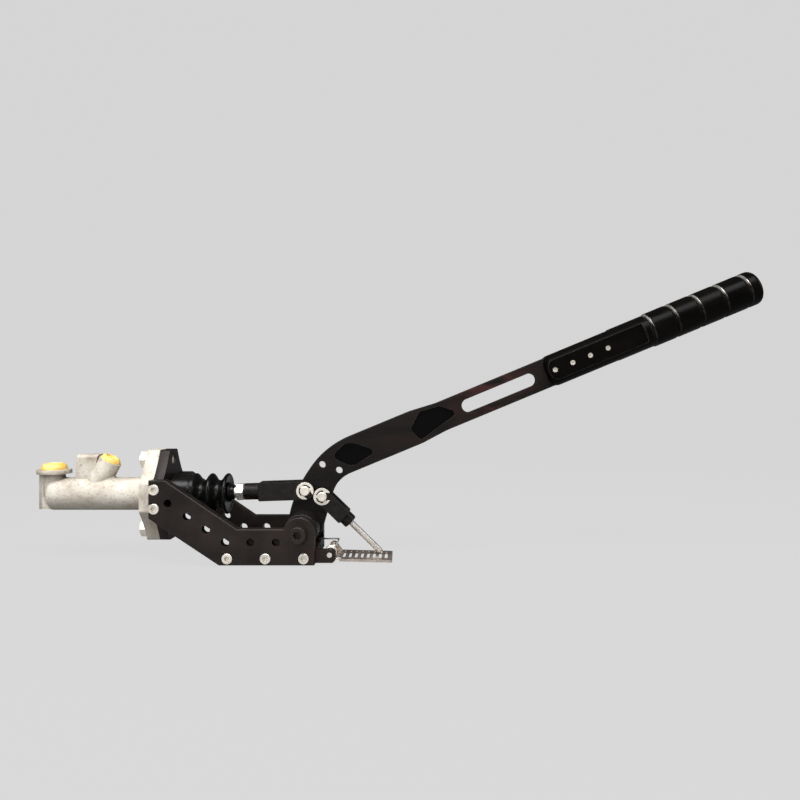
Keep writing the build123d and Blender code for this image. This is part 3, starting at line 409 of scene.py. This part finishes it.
bright = steel("bright_zinc_steel", (0.84, 0.79, 0.71), 0.36, 0.50, metal=0.75)
wear(["side_screws_near", "side_screws_far", "flange_bolts", "flange_washers", "push_pin", "lock_pin",
      "push_clip", "lock_clip", "push_nut", "push_rod", "catch_pin", "grip_screws"], bright)
plain = steel("plain_steel", (0.66, 0.63, 0.59), 0.34, 0.5, (0.2, 1, 1), math.radians(-44))
wear(["lock_rod", "pivot_sleeve", "stop_washer", "retaining_ring", "spring_seat"], plain)
sheet_steel = steel("sheet_steel", (0.62, 0.54, 0.48), 0.36, 0.52, (1, 0.2, 1))
wear(["catch_plate"], sheet_steel)

# %% [markdown]
# The piston and the pivot bush are hidden inside. They still get their own metals, hard
# anodised aluminium and bronze, for views that cut the part open.

# %% The metals inside
hard = steel("hard_anodised_piston", (0.42, 0.42, 0.43), 0.3, 0.45)
wear(["piston"], hard)
bronze = steel("bronze", (0.62, 0.44, 0.22), 0.28, 0.45)
wear(["pivot_bush"], bronze)

# %% [markdown]
# The pivot bolt and the two forks are steel with a black oxide skin, which is a little
# oily: dark, smooth and not quite matt. It is no full metal in the shader, as the skin
# hides the steel. The bolt's skin is thinner and browner.


# %% Black oxide steel
def black_oxide(name, dark, light):
    finish = Finish(name, dark, 0.2, 0.34, 0.22)
    film = finish.noise(300, 3.0)
    skin = finish.ramp(film, (0.3, dark), (0.7, light))
    finish.set("Base Color", finish.mix(rubbed(finish, 0.0004, 0.6), skin, (0.09, 0.08, 0.07)))
    finish.set("Roughness", finish.spread(film, 0.26, 0.42))
    finish.set("Normal", finish.bump(finish.noise(1500, 2.0), 0.00003, 0.4))
    return finish


fork_steel = black_oxide("black_oxide_fork", (0.0075, 0.0065, 0.0058), (0.014, 0.0115, 0.0100))
wear(["push_fork", "lock_fork"], fork_steel)
bolt_steel = black_oxide("black_oxide_bolt", (0.018, 0.0135, 0.0115), (0.030, 0.0225, 0.0190))
wear(["pivot_bolt", "pivot_nut", "pivot_washer"], bolt_steel)

# %% [markdown]
# The boot, the seals and the piston cup are moulded rubber: black with a satin skin. Real
# rubber is never one black, so a slow noise dulls it like dust, and a finer one gives the
# slight orange peel of the mould.

# %% Rubber
rubber = Finish("black_rubber", (0.0045, 0.0042, 0.0040), 0.0, 0.35, 0.2)
skin = rubber.noise(420, 4.0)
dust = rubber.noise(90, 3.0)
rubber.set("Base Color", rubber.ramp(dust, (0.35, (0.0020, 0.0018, 0.0017)), (0.7, (0.0055, 0.005, 0.0045))))
rubber.set("Roughness", rubber.spread(skin, 0.18, 0.34))
rubber.set("Normal", rubber.bump(skin, 0.00005, 0.3))
wear(["rear_seal", "primary_cup"], rubber)

# %% [markdown]
# Yellow plastic plugs keep dirt out of the two ports until the pipes go on. Thin
# polythene lets some light in. Transmission would be slow and noisy for that, so a little
# subsurface scattering gives the glow.

# %% Yellow plugs
plug = Finish("yellow_plastic", (0.86, 0.60, 0.17), 0.0, 0.35)
plug.shader.inputs["Subsurface Weight"].default_value = 0.25
plug.shader.inputs["Subsurface Scale"].default_value = 0.002
streak = plug.noise(150, 3.0)
plug.set("Base Color", plug.ramp(streak, (0.3, (0.88, 0.53, 0.10)), (0.65, (0.95, 0.70, 0.24))))
plug.set("Normal", plug.bump(plug.noise(700, 2.0), 0.00005, 0.4))
wear(["outlet_cap", "inlet_cap"], plug)

# %% [markdown]
# Nothing on the real part has a razor edge: the plates are tumbled, the forks broken
# with a file, the casting rubbed down. The solids could carry that, but it would make
# them heavy, so a bevel modifier does it here: small on thin clips and wider on the
# casting. Each edge then catches the light. The weld first joins the mesh along its
# edges, as the bevel needs.


# %% Broken edges
def break_edges(piece, width, segments, angle):
    """Bevel every edge that is sharper than the angle, in degrees."""
    bevel = piece.modifiers.new("edge_break", "BEVEL")
    bevel.width = width
    bevel.segments = segments
    bevel.limit_method = "ANGLE"
    bevel.angle_limit = math.radians(angle)
    bevel.harden_normals = True


edge_breaks = {
    0.0006: ["cylinder_body"],
    0.0004: ["front_bracket", "outlet_cap", "inlet_cap"],
    0.0003: ["base_plate", "lever", "push_fork", "lock_fork", "pivot_spacer_near", "pivot_spacer_far"],
    0.0002: ["side_plate_near", "side_plate_far", "side_screws_near", "side_screws_far", "flange_bolts",
             "flange_washers", "pivot_bolt", "pivot_nut", "push_pin", "push_nut", "lock_pin", "catch_plate"],
    0.00012: ["push_clip", "lock_clip"],
}
for width, names in edge_breaks.items():
    for name in names:
        weld = nodes[name].modifiers.new("weld", "WELD")
        weld.merge_threshold = 1e-6
        break_edges(nodes[name], width, 2, 38)
print("pieces with broken edges", sum(len(names) for names in edge_breaks.values()))

# %% [markdown]
# The pieces that Blender adds are all built from rings of points with a skin of faces
# between them. Curve objects could draw some of them, but a mesh made ring by ring keeps
# its exact size, and its faces run along the form.


# %% Helpers for meshes
def ring(mesh, centre, radius, side, other, count):
    """A round ring of points in the plane of two directions."""
    return [mesh.verts.new(centre + radius * (side * math.cos(a) + other * math.sin(a)))
            for a in (2 * math.pi * k / count for k in range(count))]


def skin_over(mesh, rings):
    """Faces from each ring to the next."""
    for first, second in zip(rings, rings[1:]):
        for k in range(len(first)):
            after = (k + 1) % len(first)
            mesh.faces.new((first[k], first[after], second[after], second[k]))


def mesh_data(name, mesh):
    data = bpy.data.meshes.new(name)
    mesh.to_mesh(data)
    mesh.free()
    return data


def show(name, data):
    piece = bpy.data.objects.new(name, data)
    bpy.context.scene.collection.objects.link(piece)
    return piece


def new_piece(name, mesh, finish):
    mesh.normal_update()
    data = mesh_data(name, mesh)
    for polygon in data.polygons:
        polygon.use_smooth = True
    data.materials.append(finish.material)
    print(name, "has", len(data.polygons), "faces")
    return show(name, data)


# %% [markdown]
# Two helpers draw the round pieces. lathe turns an outline about a line, as a lathe or a
# round mould would; wire sweeps a round section along a path, as a spring winder does.


# %% Helpers for turned pieces and wire
def lathe(name, outline, start, direction, finish, steps=96, solid=False):
    """Turn an outline of (distance, radius) about the line from start along direction. A solid
    piece is closed by flat ends, and a hollow one by joining the outline's last point to its first."""
    line = Vector(direction).normalized()
    side = line.cross(Vector((0, 1, 0))).normalized()
    other = line.cross(side)
    mesh = bmesh.new()
    rings = [ring(mesh, Vector(start) + line * distance, radius, side, other, steps)
             for distance, radius in outline]
    if solid:
        skin_over(mesh, rings)
        mesh.faces.new(rings[0])
        mesh.faces.new(rings[-1])
    else:
        skin_over(mesh, rings + rings[:1])
    bmesh.ops.recalc_face_normals(mesh, faces=mesh.faces)
    return new_piece(name, mesh, finish)


def wire(name, points, radius, finish, sides=14):
    """Sweep a round section along the points and close both ends."""
    mesh = bmesh.new()
    rings = []
    side = None
    for i, point in enumerate(points):
        line = (points[min(i + 1, len(points) - 1)] - points[max(i - 1, 0)]).normalized()
        if side is None:
            side = line.orthogonal().normalized()
        side = (side - line * side.dot(line)).normalized()
        rings.append(ring(mesh, point, radius, side, line.cross(side), sides))
    skin_over(mesh, rings)
    mesh.faces.new(rings[0][::-1])
    mesh.faces.new(rings[-1])
    return new_piece(name, mesh, finish)


# %% [markdown]
# The boot keeps dirt off the push rod. It is one moulding: a sleeve stretched over the
# cylinder's spigot, two thin folds like a bellows, and a dished face with a thick collar
# that hugs the rod. It could be sculpted, but one turned outline is exact. This cell
# draws the outside: a cosine, raised to a power, makes sharp crests and round valleys.

# %% Outside of the boot
boot_low, boot_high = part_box("boot")
axis_z = (boot_low[2] + boot_high[2]) / 2
crest_r = (boot_high[2] - boot_low[2]) / 2 - 0.0001
valley_r = 0.0112
lip_r = 0.0165
sleeve_r = 0.0163
sleeve_front = -0.0646
fold_pitch = 0.0133
fold_count = 2
fold_steps = 26
crest_sharpness = 1.35
last_crest = sleeve_front + fold_count * fold_pitch

outside = [(boot_low[0], 0.0157), (boot_low[0] + 0.0003, lip_r), (boot_low[0] + 0.0008, crest_r),
           (boot_low[0] + 0.0024, crest_r), (boot_low[0] + 0.0029, lip_r), (boot_low[0] + 0.0036, sleeve_r),
           (sleeve_front - 0.0040, sleeve_r), (sleeve_front - 0.0024, sleeve_r + 0.0001)]
for i in range(fold_count * fold_steps + 1):
    swing = (0.5 + 0.5 * math.cos(2 * math.pi * i / fold_steps)) ** crest_sharpness
    outside.append((sleeve_front + fold_pitch * i / fold_steps, valley_r + (crest_r - valley_r) * swing))
face = [(0.0007, 0.0167), (0.0012, 0.0161), (0.0014, 0.0154), (0.0012, 0.0146), (0.0008, 0.0130),
        (0.0005, 0.0110), (0.0005, 0.0090), (0.0006, 0.0074), (0.0005, 0.0062)]
outside += [(last_crest + step, radius) for step, radius in face]
print("boot outline points", len(outside))

# %% [markdown]
# The outline then goes back down the inside, one wall thickness away from the outside, so
# the rubber has a real wall. Its sleeve stays on the frame and its face moves with the
# piston and the rod.

# %% Boot with its wall
boot_wall = 0.001
inside = []
for i in range(1, len(outside) - 1):
    run = outside[i + 1][0] - outside[i - 1][0]
    rise = outside[i + 1][1] - outside[i - 1][1]
    length = math.hypot(run, rise)
    inside.append((outside[i][0] + boot_wall * rise / length, outside[i][1] - boot_wall * run / length))
bellows = lathe("boot_bellows", outside + inside[::-1], (0, 0, axis_z), (1, 0, 0), rubber, 112)
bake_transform(bellows)
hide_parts("boot")

# %% [markdown]
# The collar is the thick part of the same moulding, drawn by itself because it tilts with
# the rod while the folds only shorten. Its line runs from the ball in the piston to the
# pin of the fork.

# %% Boot collar
pin_low, pin_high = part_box("push_pin")
ball_r = 0.0055
ball = Vector((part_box("push_rod")[0][0] + ball_r, 0, axis_z))
pin = Vector(((pin_low[0] + pin_high[0]) / 2, 0, (pin_low[2] + pin_high[2]) / 2))
rod_line = (pin - ball).normalized()
collar_start = (last_crest + 0.0010 - ball.x) / rod_line.x
collar = [(0.0, 0.0041), (0.0, 0.0078), (0.0004, 0.0082), (0.0010, 0.0080), (0.0016, 0.0070),
          (0.0024, 0.0064), (0.0040, 0.0061), (0.0046, 0.0058), (0.0049, 0.0053), (0.0049, 0.0041)]
hugging = lathe("boot_collar", collar, ball + rod_line * collar_start, rod_line, rubber)
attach(hugging, "push_link")

# %% [markdown]
# The grip starts as a round bar on a lathe: a rounded nose, a plain shank, five finger
# grooves with soft shoulders and a blunt end. The same order works here as in the shop:
# turn the outline first, and cut it afterwards. Distances run along the arm from the
# pivot, and the arm's middle line passes 40.5 mm over it. A short straight beside each
# groove keeps the shading of the plain lengths flat.

# %% Outline of the grip
arm_offset = 0.0405
grip_start = 0.2335
shank_r = 0.0138
handle_r = 0.0145
nose_r = 0.0075
nose_steps = 12
groove_count = 5
groove_steps = 14
end_start = 0.4188
end_r = 0.0040
end_steps = 10
straight = 0.0005

bar = []
for i in range(nose_steps + 1):
    turn = math.radians(90 * i / nose_steps)
    bar.append((grip_start + nose_r * (1 - math.cos(turn)), shank_r - nose_r + nose_r * math.sin(turn)))
bar.append((grip_start + nose_r + straight, shank_r))
for k in range(groove_count):
    middle = groove_first + k * groove_pitch
    before_r = shank_r if k == 0 else handle_r
    bar.append((middle - groove_half - straight, before_r))
    for i in range(groove_steps + 1):
        across = -1 + 2 * i / groove_steps
        dip = groove_depth * (0.5 + 0.5 * math.cos(math.pi * across))
        edge_r = before_r if across < 0 else handle_r
        bar.append((middle + groove_half * across, min(edge_r, handle_r - dip)))
    bar.append((middle + groove_half + straight, handle_r))
bar.append((end_start - straight, handle_r))
for i in range(end_steps + 1):
    turn = math.radians(90 * i / end_steps)
    bar.append((end_start + end_r * math.sin(turn), handle_r - end_r + end_r * math.cos(turn)))
bar += [(end_start + end_r + 0.0002, 0.0085), (end_start + end_r + 0.0003, 0.0010)]
arm_start = pivot + arm_up * arm_offset
grip = lathe("grip_bar", bar, arm_start, arm_dir, gloss, 112, solid=True)

# %% [markdown]
# Then the bar goes to the mill. A boolean modifier cuts one prism at a time, as a cutter
# does, and its result is kept at once, so the cutters don't stay in the scene.


# %% Helpers for milling
def mill(piece, ends):
    """Cut a prism out of the piece. Its two end outlines are given as lists of points."""
    mesh = bmesh.new()
    rings = [[mesh.verts.new(point) for point in end] for end in ends]
    skin_over(mesh, rings)
    mesh.faces.new(rings[0])
    mesh.faces.new(rings[1])
    bmesh.ops.recalc_face_normals(mesh, faces=mesh.faces)
    cutter = show("cutter", mesh_data("cutter", mesh))
    cut = piece.modifiers.new("cut", "BOOLEAN")
    cut.operation = "DIFFERENCE"
    cut.solver = "EXACT"
    cut.object = cutter
    seen = piece.evaluated_get(bpy.context.evaluated_depsgraph_get())
    done = bpy.data.meshes.new_from_object(seen)
    piece.modifiers.remove(cut)
    piece.data = done
    bpy.data.objects.remove(cutter)


def grip_prism(outline, y_low, y_high):
    """A prism across the grip: its outline is (distance along the arm, height over it)."""
    return [[arm_start + arm_dir * s + arm_up * t + Vector((0, y, 0)) for s, t in outline]
            for y in (y_low, y_high)]


def slab(s_low, s_high, y_low, y_high, half):
    return grip_prism([(s_low, -half), (s_high, -half), (s_high, half), (s_low, half)], y_low, y_high)


# %% [markdown]
# Seven cuts make the lower end: a flat on each side, a slot that slides over the lever's
# tongue, and four screw holes. The cutters are larger than the bar, so that they leave no
# thin skin.

# %% Mill the grip
flat_half = 0.011
flat_end = 0.320
tongue_half = 0.00405
tongue_end = 0.2953
screw_first = 0.2403
screw_pitch = 0.0156
screw_count = 4
screw_r = 0.00205
screw_sides = 28
outside_bar = 0.02
cut_start = grip_start - 0.002

mill(grip, slab(cut_start, flat_end, flat_half, outside_bar, outside_bar))
mill(grip, slab(cut_start, flat_end, -outside_bar, -flat_half, outside_bar))
mill(grip, slab(cut_start, tongue_end, -tongue_half, tongue_half, outside_bar))
for k in range(screw_count):
    circle = [(screw_first + k * screw_pitch + screw_r * math.cos(2 * math.pi * i / screw_sides),
               screw_r * math.sin(2 * math.pi * i / screw_sides)) for i in range(screw_sides)]
    mill(grip, grip_prism(circle, -outside_bar, outside_bar))
print("grip faces", len(grip.data.polygons))

# %% [markdown]
# The milled edges are sharp, and the turned face round them is smooth. Smooth shading
# with edges marked sharp from 26 degrees keeps the two apart, and the bevel breaks what
# is sharp. The grip then rides the lever.

# %% Finish the grip
sharp_angle = 26
for polygon in grip.data.polygons:
    polygon.use_smooth = True
grip.data.set_sharp_from_angle(angle=math.radians(sharp_angle))
break_edges(grip, 0.0004, 3, sharp_angle)
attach(grip, "lever")
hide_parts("grip")
print("grip modifiers", [modifier.name for modifier in grip.modifiers])

# %% [markdown]
# Both springs are round steel wire wound on a mandrel. The return spring pushes the
# piston back. Springs are often drawn with a screw modifier, but a list of points along a
# helix is as short.

# %% Return spring
spring_low, spring_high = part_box("return_spring")
spring_wire = 0.0007
spring_r = (spring_high[2] - spring_low[2]) / 2 - spring_wire
spring_turns = 5
turn_steps = 28
spring_length = spring_high[0] - spring_low[0] - 2 * spring_wire
coil = []
for i in range(spring_turns * turn_steps + 1):
    turn = 2 * math.pi * i / turn_steps
    coil.append(Vector((spring_low[0] + spring_wire + spring_length * i / (spring_turns * turn_steps),
                        spring_r * math.sin(turn), axis_z + spring_r * math.cos(turn))))
spring = wire("return_spring_coil", coil, spring_wire, plain)
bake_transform(spring)
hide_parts("return_spring")

# %% [markdown]
# The catch spring is coiled round the hinge pin. One leg sits in the slotted plate. The
# other turns two corners, crosses over and rests on the base. Each corner is a quarter
# circle between the directions before and after it, as a bending jig leaves it.

# %% Catch spring
hinge = Vector((0.0495, 0, 0.0062))
catch_wire = 0.00065
catch_coil_r = 0.0045
catch_pitch = 0.0017
catch_turns = 3.5
near_y = -0.01805
far_y = near_y + catch_turns * catch_pitch
plate_z = hinge.z - catch_coil_r
rest_z = hinge.z + catch_coil_r
corner_x = 0.0535
cross_y = 0.014
corner_r = 0.0018
corner_steps = 6
plate_leg_end = 0.0581
plate_leg_start = 0.0540
rest_leg_start = 0.045
rest_leg_end = 0.0357
forward = Vector((1, 0, 0))
across = Vector((0, 1, 0))

path = [Vector((plate_leg_end, near_y, plate_z)), Vector((plate_leg_start, near_y, plate_z))]
for i in range(int(catch_turns * turn_steps) + 1):
    turn = 2 * math.pi * i / turn_steps
    path.append(Vector((hinge.x - catch_coil_r * math.sin(turn), near_y + catch_pitch * i / turn_steps,
                        hinge.z - catch_coil_r * math.cos(turn))))
for corner, before, after in ((Vector((corner_x, far_y, rest_z)), forward, across),
                              (Vector((corner_x, cross_y, rest_z)), across, -forward)):
    for i in range(corner_steps + 1):
        a = math.radians(90 * i / corner_steps)
        path.append(corner - before * corner_r * (1 - math.sin(a)) + after * corner_r * (1 - math.cos(a)))
path += [Vector((rest_leg_start, cross_y, rest_z)), Vector((rest_leg_end, cross_y, rest_z))]
catch_spring = wire("catch_spring_wire", path, catch_wire, bright)
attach(catch_spring, "frame")
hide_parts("catch_spring")

# %% [markdown]
# The studio is a pale sweep: a floor that curves up into a backdrop, so that no corner
# shows behind the brake.

# %% Floor and backdrop
floor_gap = 0.0002
floor_z = cad_box[0][2] - floor_gap
floor_front = -4.0
floor_back = 2.2
bend_r = 1.2
bend_steps = 12
backdrop_top = 4.5
half_width = 5.0
profile = [(floor_front, 0.0), (floor_back, 0.0)]
for i in range(1, bend_steps + 1):
    a = math.radians(90 * i / bend_steps)
    profile.append((floor_back + bend_r * math.sin(a), bend_r - bend_r * math.cos(a)))
profile.append((floor_back + bend_r, backdrop_top))
sweep = bmesh.new()
rows = [[sweep.verts.new((x, y, floor_z + z)) for x in (-half_width, half_width)] for y, z in profile]
for low, high in zip(rows, rows[1:]):
    sweep.faces.new((low[0], low[1], high[1], high[0]))
floor_mesh = mesh_data("floor", sweep)
for polygon in floor_mesh.polygons:
    polygon.use_smooth = True
floor = show("floor", floor_mesh)
print("floor at", round(floor_z, 5), "with", len(floor_mesh.polygons), "faces")

# %% [markdown]
# Lighting the paper until it looks pale would flood the brake with light. The camera
# sees it almost evenly bright instead, and only a small part of the real shading shows,
# so the shadow under the base stays soft and faint. Metal reflects the paper as the lamps
# light it.

# %% Paper
camera_share = 0.94
paper = Finish("paper", (0.30, 0.30, 0.30), 0.0, 0.9)
glow = paper.node("Emission")
glow.inputs["Color"].default_value = (0.705, 0.705, 0.705, 1)
camera_ray = paper.node("LightPath").outputs["Is Camera Ray"]
blend = paper.node("MixShader")
paper.join(paper.calculate("MULTIPLY", camera_ray, camera_share), blend.inputs[0])
paper.join(paper.shader.outputs[0], blend.inputs[1])
paper.join(glow.outputs[0], blend.inputs[2])
paper.join(blend.outputs[0], paper.tree.nodes["Material Output"].inputs["Surface"])
floor_mesh.materials.append(paper.material)
print("paper, share seen by the camera as plain glow", camera_share)

# %% [markdown]
# Light comes mostly from a large soft box above and in front. A weaker one behind the
# camera fills the faces, and one at each side draws the edges. A picture of a studio could
# light it too, but four lamps can be aimed and dimmed one by one.


# %% Lights
def soft_box(name, place, aim, size, power):
    """A rectangular lamp at a place, aimed at a point, with its power in watts."""
    lamp = bpy.data.lights.new(name, "AREA")
    lamp.shape = "RECTANGLE"
    lamp.size, lamp.size_y = size
    lamp.energy = power
    box = show(name, lamp)
    box.location = place
    box.rotation_euler = (Vector(aim) - Vector(place)).to_track_quat("-Z", "Y").to_euler()
    print(name, power, "W")


soft_box("top_box", (0.05, -0.50, 1.05), (0.1, 0.0, 0.05), (1.4, 0.5), 21)
soft_box("front_box", (-0.1, -1.3, 0.45), (0.0, 0.0, 0.08), (0.8, 0.5), 4.5)
soft_box("left_box", (-1.0, -0.7, 0.8), (0.0, 0.0, 0.08), (0.6, 0.6), 6)
soft_box("right_box", (1.2, -0.3, 0.7), (0.15, 0.0, 0.1), (0.3, 0.5), 2)

# %% [markdown]
# A pale world fills what the lamps leave. It lights the brake weakly, but the camera sees
# it about as bright as the paper, so that views past the paper's edge stay pale.

# %% World
world = bpy.data.worlds.new("world")
bpy.context.scene.world = world
world.use_nodes = True
sky = Nodes(world.node_tree)
background = world.node_tree.nodes["Background"]
background.inputs["Color"].default_value = (0.68, 0.68, 0.68, 1)
fill = 0.22
seen_more = 0.8
camera_ray = sky.node("LightPath").outputs["Is Camera Ray"]
sky.join(sky.calculate("MULTIPLY_ADD", camera_ray, seen_more, fill), background.inputs["Strength"])
print("world fill", fill)
